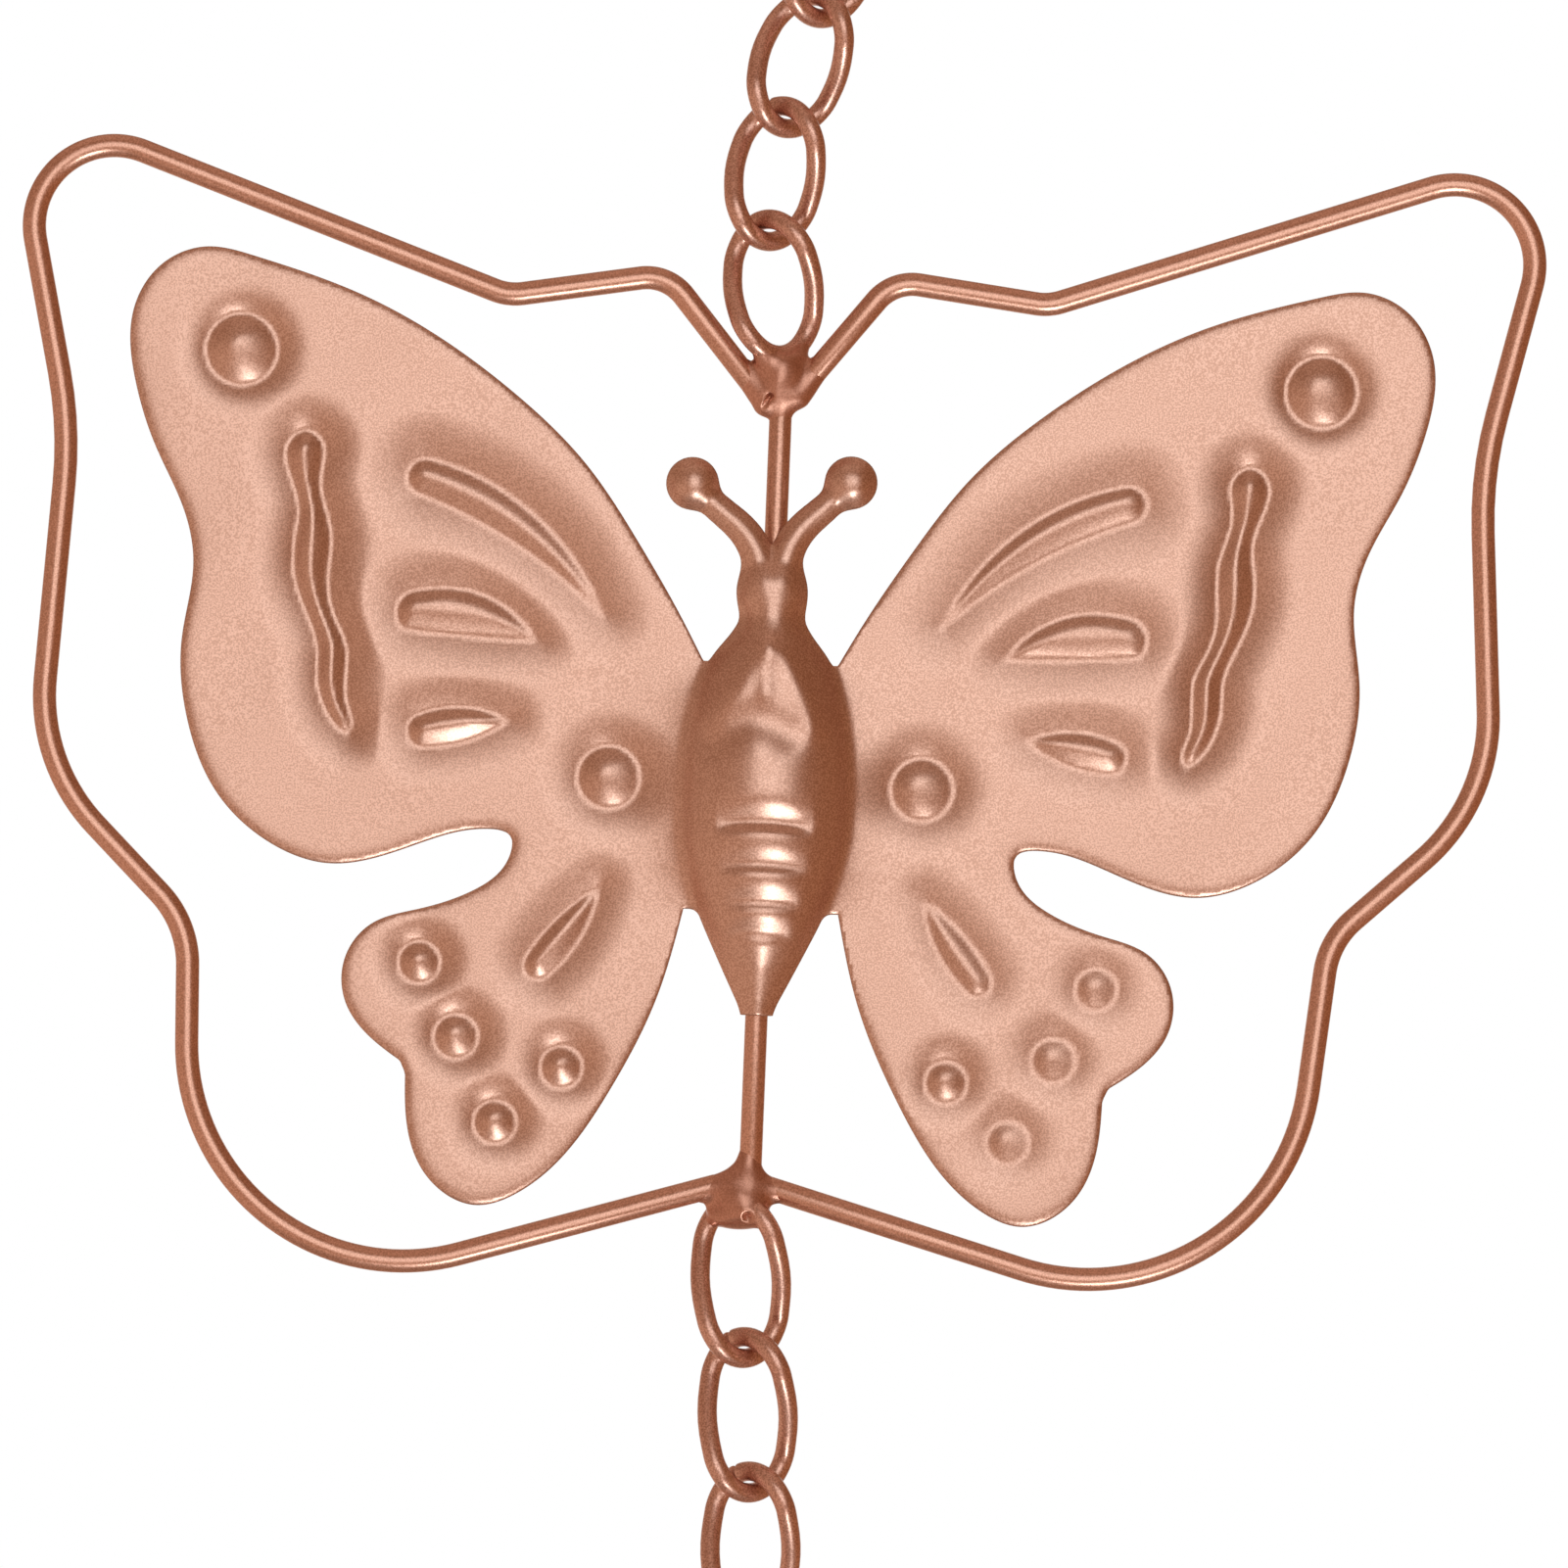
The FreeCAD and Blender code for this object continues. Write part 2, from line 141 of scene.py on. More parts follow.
def copperPaint(look):
    # metallic paint: flakes a fifth of a millimetre across, wide soft tints, a fine skin
    material = bpy.data.materials.new(look["name"])
    material.use_nodes = True
    tree = material.node_tree
    tree.nodes.clear()
    place = Value.make(tree, "ShaderNodeTexCoord", {}, {}, "Object")
    flake = noise(tree, place, paintSkin["flakeScale"], paintSkin["flakeDetail"])
    cloud = noise(tree, place, look["cloudScale"], paintSkin["cloudDetail"])
    speck = (flake - 0.5) * look["flake"] + (cloud - 0.5) * look["cloud"] + 0.5
    colour = mixed(tree, speck, look["dark"], look["light"])
    swing = paintSkin["roughSwing"]
    rough = (cloud - 0.5) * swing + (flake - 0.5) * swing + look["rough"]
    skin = Value.make(tree, "ShaderNodeBump", {}, {"Strength": paintSkin["bump"],
                                                   "Distance": paintSkin["bumpDistance"], "Height": flake})
    shader = Value.make(tree, "ShaderNodeBsdfPrincipled", {},
                        {"Base Color": colour, "Roughness": rough, "Metallic": 1.0, "Normal": skin})
    Value.make(tree, "ShaderNodeOutputMaterial", {}, {"Surface": shader})
    return material


paints = {slot: copperPaint(look) for slot, look in paintLooks.items()}
print("paints made")


def addPiece(look, points, quads, triangles):
    # one smooth mesh at the origin, in the frame's metres, on its CAD body and in its solid's place
    mesh = bpy.data.meshes.new(look["piece"])
    placed = (points - [hangAcross, 0, hangUp]) * metresEach
    mesh.from_pydata(placed.tolist(), [], quads.tolist() + triangles.tolist())
    mesh.polygons.foreach_set("use_smooth", np.ones(len(mesh.polygons), bool))
    mesh.materials.append(paints[look["slot"]])
    mesh.validate()
    mesh.update()
    piece = bpy.data.objects.new(look["piece"], mesh)
    scene.collection.objects.link(piece)
    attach(piece, look["body"])
    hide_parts(look["node"])


def ringFaces(rings, sides):
    # quads between rings that follow each other, each ring closed on itself
    ring = np.arange(rings - 1)[:, None] * sides
    side = np.arange(sides)[None, :]
    after = (side + 1) % sides
    return np.stack([ring + side, ring + after, ring + sides + after, ring + sides + side], -1).reshape(-1, 4)


def fan(tip, first, sides):
    # triangles from a tip to each side of the ring that starts at the first point
    side = np.arange(sides)
    return np.stack([np.full(sides, tip), first + side, first + (side + 1) % sides], 1)


def tube(path, facing, radii, sides):
    # a round section carried along a path: point = path + radius * (cos turn * N + sin turn * B),
    # N square to the path beside the facing direction and B square to both; a point closes each end
    along = np.gradient(path, axis=0)
    along /= np.linalg.norm(along, axis=1, keepdims=True)
    first = facing - (facing * along).sum(1, keepdims=True) * along
    first /= np.linalg.norm(first, axis=1, keepdims=True)
    second = np.cross(along, first)
    turn = np.linspace(0, 2 * np.pi, sides, endpoint=False)[None, :, None]
    arm = np.cos(turn) * first[:, None] + np.sin(turn) * second[:, None]
    shell = path[:, None] + radii[:, None, None] * arm
    count = len(path) * sides
    points = np.concatenate([shell.reshape(-1, 3), path[:1], path[-1:]])
    triangles = np.concatenate([fan(count, 0, sides)[:, ::-1], fan(count + 1, count - sides, sides)])
    return points, ringFaces(len(path), sides), triangles


def cutEnds(path, radius, bevel):
    # two more stations near each end, where the section draws in by the bevel, fastest at the cut
    midPlace, midDraw = 0.35 * bevel, 0.3 * bevel
    first = path[1] - path[0]
    last = path[-2] - path[-1]
    first = first / np.linalg.norm(first)
    last = last / np.linalg.norm(last)
    path = np.concatenate([path[:1], path[:1] + first * midPlace, path[:1] + first * bevel, path[1:-1],
                           path[-1:] + last * bevel, path[-1:] + last * midPlace, path[-1:]])
    radii = np.full(len(path), radius)
    radii[[0, -1]] = radius - bevel
    radii[[1, -2]] = radius - midDraw
    return path, radii


# Chain: each link is an oval of wire, twisted about its long axis, its cut ends butted in the upper bow
chain = {"slot": "chain_wire", "width": 10.7, "draw": 0.1, "twist": 78.0, "play": 0.4,
         "gap": 0.4, "buttAngle": 22.0, "bevel": 0.16,
         "sides": 24, "bowPoints": 32, "startPoints": 14, "endPoints": 22, "legPoints": 6}
upperLinks = {
    "start": (0.0, rodTop + 0.2), "length": 16.8, "way": 1,
    "links": [
        {"piece": "topWeldedWire", "node": "top_welded_link", "body": "butterfly_unit", "lean": -9.0},
        {"piece": "nearWire", "node": "upper_link_near", "body": "upper_link_near_body", "lean": 6.0},
        {"piece": "farWire", "node": "upper_link_far", "body": "upper_link_far_body", "lean": 14.9},
        {"piece": "hangWire", "node": "hang_link", "body": "hang_link_body", "lean": 10.0},
    ],
}
lowerLinks = {
    "start": (-1.5, rodBottom - 0.2), "length": 18.9, "way": -1,
    "links": [
        {"piece": "bottomWeldedWire", "node": "bottom_welded_link", "body": "butterfly_unit", "lean": -5.8},
        {"piece": "lowerWire", "node": "lower_link", "body": "lower_link_body", "lean": -4.7},
        {"piece": "tailWire", "node": "tail_link", "body": "tail_link_body", "lean": -2.3},
    ],
}


def leanWay(lean):
    # across and up of a link's long axis that leans to the right
    return np.array([math.sin(math.radians(lean)), math.cos(math.radians(lean))])


def linkPath(length):
    # half circles joined by straight legs; across = side * cos(twist), depth = side * sin(twist),
    # where the twist grows from bow to bow as a quarter sine each way
    halfWidth = chain["width"] / 2 - linkRadius
    halfLength = length / 2 - linkRadius - chain["draw"]
    straight = halfLength - halfWidth
    butt = math.radians(chain["buttAngle"])
    gap = chain["gap"] / 2 / halfWidth
    legs = chain["legPoints"]
    bow = np.linspace(0, np.pi, chain["bowPoints"])
    start = np.linspace(butt + gap, np.pi / 2, chain["startPoints"])
    end = np.linspace(0, np.pi / 2 + butt - gap, chain["endPoints"])
    leg = np.linspace(1, -1, legs + 2)[1:-1] * straight
    side = np.concatenate([-halfWidth * np.sin(start), np.full(legs, -halfWidth), -halfWidth * np.cos(bow),
                           np.full(legs, halfWidth), halfWidth * np.cos(end)])
    up = np.concatenate([straight + halfWidth * np.cos(start), leg, -straight - halfWidth * np.sin(bow),
                         -leg, straight + halfWidth * np.sin(end)])
    twist = -math.radians(chain["twist"] / 2) * np.sin(np.pi / 2 * up / halfLength)
    path = np.stack([side * np.cos(twist), side * np.sin(twist), up], 1)
    facing = np.stack([-np.sin(twist), np.cos(twist), np.zeros_like(twist)], 1)
    return path, facing


def hangLinks(row):
    # each link's middle follows from the last one's: both reaches, less the wire and play where they cross
    length, way, before = row["length"], row["way"], None
    reach = length / 2 - linkRadius
    for look in row["links"]:
        tilt = leanWay(look["lean"])
        if before is None:
            middle = np.array(row["start"]) + tilt * way * length / 2
        else:
            crossing = leanWay((before + look["lean"]) / 2) * (2 * linkRadius + chain["play"])
            middle = middle + (leanWay(before) + tilt) * way * reach - crossing * way
        before = look["lean"]
        path, facing = linkPath(length)
        path, radii = cutEnds(path, linkRadius, chain["bevel"])
        facing = np.concatenate([facing[:1], facing[:1], facing, facing[-1:], facing[-1:]])
        points, quads, triangles = tube(path, facing, radii, chain["sides"])
        across = middle[0] + points[:, 0] * tilt[1] + points[:, 2] * tilt[0]
        up = middle[1] - points[:, 0] * tilt[0] + points[:, 2] * tilt[1]
        look["slot"] = chain["slot"]
        addPiece(look, np.stack([across, points[:, 1], up], 1), quads, triangles)


hangLinks(upperLinks)
hangLinks(lowerLinks)
print("chain made")

# Outline wire: across, up and bend radius of each corner, from the top weld to the bottom one
leftLook = {"piece": "leftWire", "node": "left_outline_wire", "body": "butterfly_unit", "slot": "frame_wire",
            "top": (-2.2, 41.2), "bottom": (-3.325, -42.8), "sides": 28, "bevel": 0.25,
            "bends": [(-12.6, 53.6, 5), (-29.4, 50.7, 6), (-83.1, 69.5, 8.5), (-75.4, 34.8, 43),
                      (-77.4, -0.9, 20), (-60.7, -17.3, 11), (-59.5, -60.1, 23.0)]}
rightLook = {"piece": "rightWire", "node": "right_outline_wire", "body": "butterfly_unit",
             "slot": "frame_wire", "top": (2.2, 42.2), "bottom": (1.75, -42.8), "sides": 28, "bevel": 0.25,
             "bends": [(11.4, 53.9, 5), (28.0, 51.9, 6), (82.6, 71.1, 8.5), (74.6, 36.0, 43),
                       (77.0, 1.2, 20), (60.45, -14.3, 9), (56.1, -57.9, 23.6)]}
bendStep, fewestPoints = 2.5, 6  # degrees between the points of a bend


def bentPath(look):
    # straight runs joined at each corner by an arc that touches both
    corners = np.array([look["top"]] + [bend[:2] for bend in look["bends"]] + [look["bottom"]], float)
    runs = [corners[:1]]
    for before, corner, after, bend in zip(corners, corners[1:], corners[2:], look["bends"]):
        back = (before - corner) / np.linalg.norm(before - corner)
        ahead = (after - corner) / np.linalg.norm(after - corner)
        turn = math.pi - math.acos(float(back @ ahead))
        bisector = (back + ahead) / np.linalg.norm(back + ahead)
        centre = corner + bisector * bend[2] / math.cos(turn / 2)
        count = max(fewestPoints, int(math.degrees(turn) / bendStep))
        angle = np.linspace(-turn / 2, turn / 2, count)[:, None]
        chord = (ahead - back) / np.linalg.norm(ahead - back)
        runs.append(centre + bend[2] * (np.sin(angle) * chord - np.cos(angle) * bisector))
    flat = np.concatenate(runs + [corners[-1:]])
    return np.stack([flat[:, 0], np.zeros(len(flat)), flat[:, 1]], 1)


for look in (leftLook, rightLook):
    path, radii = cutEnds(bentPath(look), wireRadius, look["bevel"])
    addPiece(look, *tube(path, depthWays, radii, look["sides"]))

rodLook = {"piece": "rod", "node": "centre_rod", "body": "butterfly_unit", "slot": "frame_wire",
           "sides": 32, "bevel": 0.2, "levels": (rodBottom, -20.0, 20.0, rodTop)}
path = np.array([[0.0, 0.0, level] for level in rodLook["levels"]])
path, radii = cutEnds(path, rodRadius, rodLook["bevel"])
addPiece(rodLook, *tube(path, depthWays, radii, rodLook["sides"]))
print("outline wire and rod made")

# Stamping: one sheet as a height over across and up, pressed in along each motif's outline and
# raised in the body, head and feelers; outlines are across and up on the right side
stampLook = {
    "piece": "butterflySheet", "node": "butterfly_stamping", "body": "butterfly_unit",
    "slot": "pressed_sheet", "front": -1.8,
    "cell": 0.43, "gridAcross": (-70.3, 70.3), "gridUp": (-47.0, 56.0), "probe": 0.02,
    "wing": [(6.95, 12.4), (9.9, 17.7), (14.55, 25.1), (20.3, 33.0), (28.0, 40.1), (44.8, 50.1),
             (56.5, 53.8), (61.6, 54.55), (66.2, 52.5), (69.0, 47.6), (68.5, 40.0), (66.0, 33.0),
             (63.0, 27.0), (61.6, 21.0), (62.5, 13.0), (61.6, 4.4), (58.2, -3.2), (52.6, -8.2),
             (46.0, -10.3), (40.1, -9.2), (34.2, -6.95), (29.6, -6.0), (26.8, -6.7), (26.9, -8.9),
             (30.3, -12.4), (36.5, -14.8), (41.2, -16.5), (43.9, -20.3), (43.6, -25.0), (40.8, -28.6),
             (37.6, -30.9)],
    "hind": [(37.0, -32.2), (36.7, -37.0), (34.3, -43.0), (29.0, -45.9), (24.7, -44.5), (15.15, -33.0),
             (10.6, -23.0), (8.2, -13.6)],
    # rim: bevel of its corners, and the droop's depth, reach, and where across it starts and is full
    "edgeRound": 0.16, "droop": 0.3, "droopReach": 0.45, "droopAcross": (9.0, 12.0),
    # waves of the thin sheet: heights, turns for each millimetre and starts, and where across they fade in
    "broadWave": 0.10, "broadAcross": (0.16, 1.0), "broadUp": (0.13, 0.4),
    "fineWave": 0.05, "fineAcross": 0.31, "fineUp": 0.27, "waveAcross": (9.0, 17.0),
    # fillet beside the body: height, reach, and the level past which it fades
    "fillet": 0.6, "filletReach": 2.6, "filletEnd": 14.0, "filletFade": 5.0,
    # a raised wall is thicker along the depth, by its slant and no more than the most
    "raisedFrom": 0.3, "mostSlant": 2.2,
}
motifLook = {
    # across, up and radius
    "rounds": [(57.3, 43.8, 3.8), (16.6, 0.0, 3.3), (35.9, -20.4, 2.2), (31.7, -28.1, 2.35),
               (20.4, -30.9, 2.2), (27.2, -37.0, 2.25)],
    # ends and middles of three arcs
    "longs": [
        [(18.1, 17.3), (27.2, 28.6), (36.8, 32.9), (39.2, 31.2), (38.2, 29.4), (28.6, 25.1)],
        [(25.0, 14.2), (31.0, 18.8), (37.4, 19.0), (39.8, 16.6), (39.0, 14.9), (32.4, 14.4)],
        [(27.6, 5.6), (32.2, 6.7), (36.9, 5.8), (38.1, 4.0), (36.7, 2.5), (31.9, 3.3)],
        [(17.3, -11.8), (21.7, -15.5), (24.5, -19.3), (24.3, -21.3), (22.1, -21.0), (19.2, -17.4)],
    ],
    "stripe": [(44.6, 3.5), (44.2, 4.3), (44.7, 6.4), (45.0, 9.8), (45.1, 12.8), (46.4, 15.7),
               (47.3, 19.4), (47.2, 24.7), (48.0, 27.7), (48.5, 30.6), (48.5, 34.4), (50.2, 35.4),
               (51.8, 34.3), (51.5, 30.5), (50.6, 27.6), (50.9, 23.0), (50.5, 19.3), (49.0, 15.6),
               (48.0, 12.7), (47.9, 9.7), (47.0, 6.3), (45.6, 4.3), (44.6, 3.5)],
    # each motif: depth of its outline, share that its tent rises back, width and power of the tent's
    # wall, width and power of the skirt
    "roundPresses": [(0.95, 1.5, 9.0, 1.55, 3.9, 2.2), (0.9, 1.25, 9.0, 1.5, 4.4, 1.8)]
                    + [(0.85, 1.1, 9.0, 1.25, 3.6, 1.8)] * 4,
    "longPresses": [(0.95, 0.8, 2.2, 1.4, 5.4, 1.6), (0.95, 0.85, 2.0, 1.4, 5.0, 1.6),
                    (0.9, 1.05, 1.8, 1.3, 4.4, 1.6), (0.85, 0.95, 1.8, 1.3, 4.2, 1.6)],
    "stripePress": (1.15, 1.0, 9.0, 1.25, 4.6, 1.7),
    # share of each motif's depth on the right wing: rounds, longs, stripe
    "rightShares": (0.9, 0.9, 0.6, 0.6, 0.8, 0.55, 0.95, 0.9, 0.8, 0.75, 1.0),
    "steeperLeft": 0.15, "steeperUp": 0.2, "leastTent": 0.9, "skirtJoin": 4,
    "roundPoints": 24, "arcPoints": 14,
}
bodyLook = {
    # up, half width and share of the depth, from tail to neck
    "sections": [(-24.6, 1.5, 0.22), (-20.0, 3.8, 0.45), (-14.6, 6.4, 0.77), (-10.6, 8.0, 0.92),
                 (-6.4, 9.1, 1.0), (-2.0, 9.4, 1.03), (3.4, 9.2, 0.99), (8.4, 8.3, 0.92), (12.4, 6.9, 0.77),
                 (15.0, 5.0, 0.69), (16.8, 3.4, 0.62), (18.6, 3.1, 0.54), (20.4, 2.5, 0.33)],
    "sectionPoints": 120, "sectionSmooth": 9,
    "depth": 5.2, "roundPower": 0.8, "sideFall": 0.9, "endFall": 2.0,
    # the tail is partly a keel: level where it starts, length over which it grows, share, crest, softness
    "keelStart": -15.5, "keelGrows": 4.0, "keelShare": 0.5, "keelCrest": 1.08, "keelSoft": 0.06,
    # up, depth, half length and upper width of the grooves across the abdomen
    "grooves": [(-4.2, 1.05, 5.2, 1.9), (-8.6, 0.65, 4.8, 1.6), (-12.6, 0.58, 4.2, 1.5),
                (-15.9, 0.42, 3.4, 1.5)],
    "grooveSag": 0.018, "grooveLower": 0.55,
    # height, width and line of the ridges, and of one hollow, on the thorax
    "ridges": [(0.55, 1.5, [(-0.9, 14.4), (-2.6, 11.4), (-4.4, 8.4), (-5.6, 6.4)]),
               (0.55, 1.4, [(1.3, 13.6), (2.9, 11.0), (4.4, 8.4), (5.0, 6.2)]),
               (-0.65, 2.0, [(-6.2, 4.4), (-3.6, 6.0), (-0.6, 6.6), (2.0, 5.4)]),
               (0.28, 0.9, [(-0.3, 14.6), (-0.35, 12.0), (-0.4, 9.6)])],
}
headLook = {
    # balls as across, up and radius, with the share of their roundness that shows
    "head": (0.0, 20.0, 3.75), "headRise": 0.86, "tip": (8.4, 31.85, 2.8), "tipRise": 0.95,
    "feeler": [(0.9, 21.6), (1.6, 24.4), (3.1, 26.9), (5.4, 29.0), (8.4, 31.85)],
    "stemRadius": 1.6, "stemThin": 0.93, "stemFlare": 0.34, "stemRise": 0.3,
    # turn to the left about the neck, in radians, and the levels over which it comes
    "turn": 0.043, "neck": 17.0, "turnStart": 14.0, "turnGrows": 5.0,
    "sink": 0.25, "outsideFall": 3.0,
}
# reach over which two parts of the stamping run into each other
joins = {"tip": 0.9, "head": 1.6, "neck": 1.2, "wing": 0.8, "plate": 0.9}


def splineThrough(corners, step):
    # natural cubic spline over the chord length
    knots = np.array(corners, float)
    place = np.concatenate([[0], np.cumsum(np.linalg.norm(np.diff(knots, axis=0), axis=1))])
    gap = np.diff(place)
    count = len(knots)
    system = np.eye(count)
    right = np.zeros((count, 2))
    inner = np.arange(1, count - 1)
    system[inner, inner - 1] = gap[:-1]
    system[inner, inner] = 2 * (gap[:-1] + gap[1:])
    system[inner, inner + 1] = gap[1:]
    slope = np.diff(knots, axis=0) / gap[:, None]
    right[inner] = 6 * np.diff(slope, axis=0)
    bend = np.linalg.solve(system, right)
    at = np.linspace(0, place[-1], max(4, int(place[-1] / step)))
    run = np.clip(np.searchsorted(place, at, side="right") - 1, 0, count - 2)
    before = ((place[run + 1] - at) / gap[run])[:, None]
    after = 1 - before
    width = (gap[run] ** 2 / 6)[:, None]
    return (before * knots[run] + after * knots[run + 1]
            + ((before ** 3 - before) * bend[run] + (after ** 3 - after) * bend[run + 1]) * width)


def arcThrough(first, middle, last, count):
    # circle through three points, from the first on towards the last, which is left out
    start, between, end = complex(*first), complex(*middle), complex(*last)
    share = (end - start) / (between - start)
    centre = start + (between - start) * (share - abs(share) ** 2) / (2j * share.imag)
    arm = start - centre
    half = np.angle((between - centre) / arm)
    whole = np.angle((end - centre) / arm)
    if half * whole < 0:
        whole += math.copysign(2 * math.pi, half)
    dots = centre + arm * np.exp(1j * whole * np.arange(count) / count)
    return np.stack([dots.real, dots.imag], 1)


def loopSides(across, up, loop):
    # for every point and every side of a loop: distance, and whether a level line crosses that side
    start, end = loop, np.roll(loop, -1, axis=0)
    run = end - start
    offA = across[:, None] - start[None, :, 0]
    offU = up[:, None] - start[None, :, 1]
    share = np.clip((offA * run[:, 0] + offU * run[:, 1]) / (run ** 2).sum(1), 0, 1)
    away = np.hypot(offA - share * run[:, 0], offU - share * run[:, 1])
    spans = (start[None, :, 1] > up[:, None]) != (end[None, :, 1] > up[:, None])
    level = np.where(run[:, 1] == 0, 1e-9, run[:, 1])
    crosses = spans & (offA < offU * run[:, 0] / level)
    return away, crosses


def loopField(across, up, loop):
    # signed distance to a loop, negative inside, worked out in blocks to spare memory
    blockSize = 6000
    field = np.empty(len(across))
    for block in np.array_split(np.arange(len(across)), max(1, len(across) // blockSize)):
        away, crosses = loopSides(across[block], up[block], loop)
        inside = crosses.sum(1) % 2 == 1
        field[block] = np.where(inside, -1, 1) * away.min(1)
    return field


def softMin(first, second, reach):
    # the lower of two fields, rounded over the reach where they are near each other
    share = np.clip(0.5 + 0.5 * (second - first) / reach, 0, 1)
    return second + (first - second) * share - reach * share * (1 - share)


def softMax(first, second, reach):
    # the higher of two fields, rounded in the same way
    return -softMin(-first, -second, reach)


def grown(value, start, end):
    # 0 up to the start, 1 from the end on, straight between them
    return np.clip((value - start) / (end - start), 0, 1)


def smoothed(values):
    # running mean, with the ends held
    width = bodyLook["sectionSmooth"]
    return np.convolve(np.pad(values, width // 2, "edge"), np.ones(width) / width, "valid")


rightWing = np.concatenate([splineThrough(stampLook[part], 0.5) for part in ("wing", "hind")])
wingLoop = np.concatenate([rightWing, rightWing[::-1] * [-1, 1]])
sectionUp, sectionHalf, sectionShare = np.array(bodyLook["sections"]).T
bodyUp = np.linspace(sectionUp[0], sectionUp[-1], bodyLook["sectionPoints"])
bodyHalf = smoothed(np.interp(bodyUp, sectionUp, sectionHalf))
bodyShare = smoothed(np.interp(bodyUp, sectionUp, sectionShare))
bodyLoop = np.concatenate([np.stack([bodyHalf, bodyUp], 1), np.stack([-bodyHalf, bodyUp], 1)[::-1]])
feelerLine = splineThrough(headLook["feeler"], 0.4)


def feelerParts(across, up):
    # distance to the feeler's line on the near side, and the stem's radius there, which grows to the head
    away = np.hypot(np.abs(across)[:, None] - feelerLine[:, 0], up[:, None] - feelerLine[:, 1])
    flare = headLook["stemFlare"] * np.linspace(1, 0, len(feelerLine)) ** 2
    radius = headLook["stemRadius"] * (headLook["stemThin"] + flare)
    nearest = (away - radius).argmin(1)
    return away[np.arange(len(away)), nearest], radius[nearest]


def ballField(across, up, ball):
    # signed distance to a circle on each side
    return np.hypot(np.abs(across) - ball[0], up - ball[1]) - ball[2]


def headTurned(across, up):
    # the head stands a little left of the body's line, turned about the neck
    neck = headLook["neck"]
    turn = headLook["turn"] * np.clip((up - headLook["turnStart"]) / headLook["turnGrows"], 0, 1)
    over = up - neck
    return across * np.cos(turn) + over * np.sin(turn), neck + over * np.cos(turn) - across * np.sin(turn)


def headField(across, up):
    # outline of the head and both feelers: stems, tips and head softly joined
    across, up = headTurned(across, up)
    away, radius = feelerParts(across, up)
    stem = softMin(away - radius, ballField(across, up, headLook["tip"]), joins["tip"])
    return softMin(stem, ballField(across, up, headLook["head"]), joins["head"])


def sheetField(across, up):
    # outline of the whole sheet, negative inside
    body = softMin(loopField(across, up, bodyLoop), headField(across, up), joins["neck"])
    return softMin(loopField(across, up, wingLoop), body, joins["wing"])


def motifLoops():
    # loop, press and the right wing's share of each motif; a round one is two half circles
    loops = []
    for across, up, radius in motifLook["rounds"]:
        half = arcThrough((across + radius, up), (across, up + radius), (across - radius, up),
                          motifLook["roundPoints"])
        loops.append(np.concatenate([half, 2 * np.array([across, up]) - half]))
    for corners in motifLook["longs"]:
        arcs = zip(corners[0::2], corners[1::2], corners[2::2] + corners[:1])
        loops.append(np.concatenate([arcThrough(*arc, motifLook["arcPoints"]) for arc in arcs]))
    loops.append(splineThrough(motifLook["stripe"], 0.5)[:-1])
    presses = motifLook["roundPresses"] + motifLook["longPresses"] + [motifLook["stripePress"]]
    return list(zip(loops, presses, motifLook["rightShares"]))


motifs = motifLoops()


def pressed(across, up):
    # depth of the motifs: full on an outline, less along the skirt outside it by
    # (1 - distance / skirt) ** power, and less up the tent inside it, whose upper and left walls are
    # steeper; skirts that meet are joined by the fourth root of their fourth powers' sum
    depth = np.zeros(len(across))
    power = motifLook["skirtJoin"]
    for (loop, press, rightShare), hand in itertools.product(motifs, (1, -1)):
        deep, rises, wall, wallPower, skirt, skirtPower = press
        deep = deep * rightShare if hand > 0 else deep
        loop = loop * [hand, 1]
        low, high = loop.min(0) - skirt, loop.max(0) + skirt
        near = np.flatnonzero((across > low[0]) & (across < high[0]) & (up > low[1]) & (up < high[1]))
        if not len(near):
            continue
        away, crosses = loopSides(across[near], up[near], loop)
        inside = crosses.sum(1) % 2 == 1
        ahead = np.roll(loop, -1, axis=0)
        run = ahead - loop
        spin = np.sign((loop[:, 0] * ahead[:, 1] - ahead[:, 0] * loop[:, 1]).sum())
        outward = spin * np.stack([run[:, 1], -run[:, 0]], 1) / np.linalg.norm(run, axis=1)[:, None]
        steep = 1 + motifLook["steeperUp"] * outward[:, 1] - motifLook["steeperLeft"] * outward[:, 0]
        rise = (away * steep).min(1)
        tent = np.clip(rise / min(rise[inside].max(initial=motifLook["leastTent"]), wall), 0, 1)
        slope = np.clip(1 - away.min(1) / skirt, 0, 1)
        within = 1 - rises * (1 - (1 - tent) ** wallPower)
        profile = deep * np.where(inside, within, slope ** skirtPower)
        sofar = depth[near]
        joined = (np.clip(sofar, 0, None) ** power + np.clip(profile, 0, None) ** power) ** (1 / power)
        joined = np.where(sofar > 0, joined, np.where(profile > 0, profile, sofar))
        depth[near] = np.where(inside, profile, joined)
    return depth


def ridge(across, up, points, width):
    # how near a line of points is, as a bell curve of the width
    line = splineThrough(points, 0.25)
    away = np.hypot(across[:, None] - line[:, 0], up[:, None] - line[:, 1]).min(1)
    return np.exp(-(away / width) ** 2)


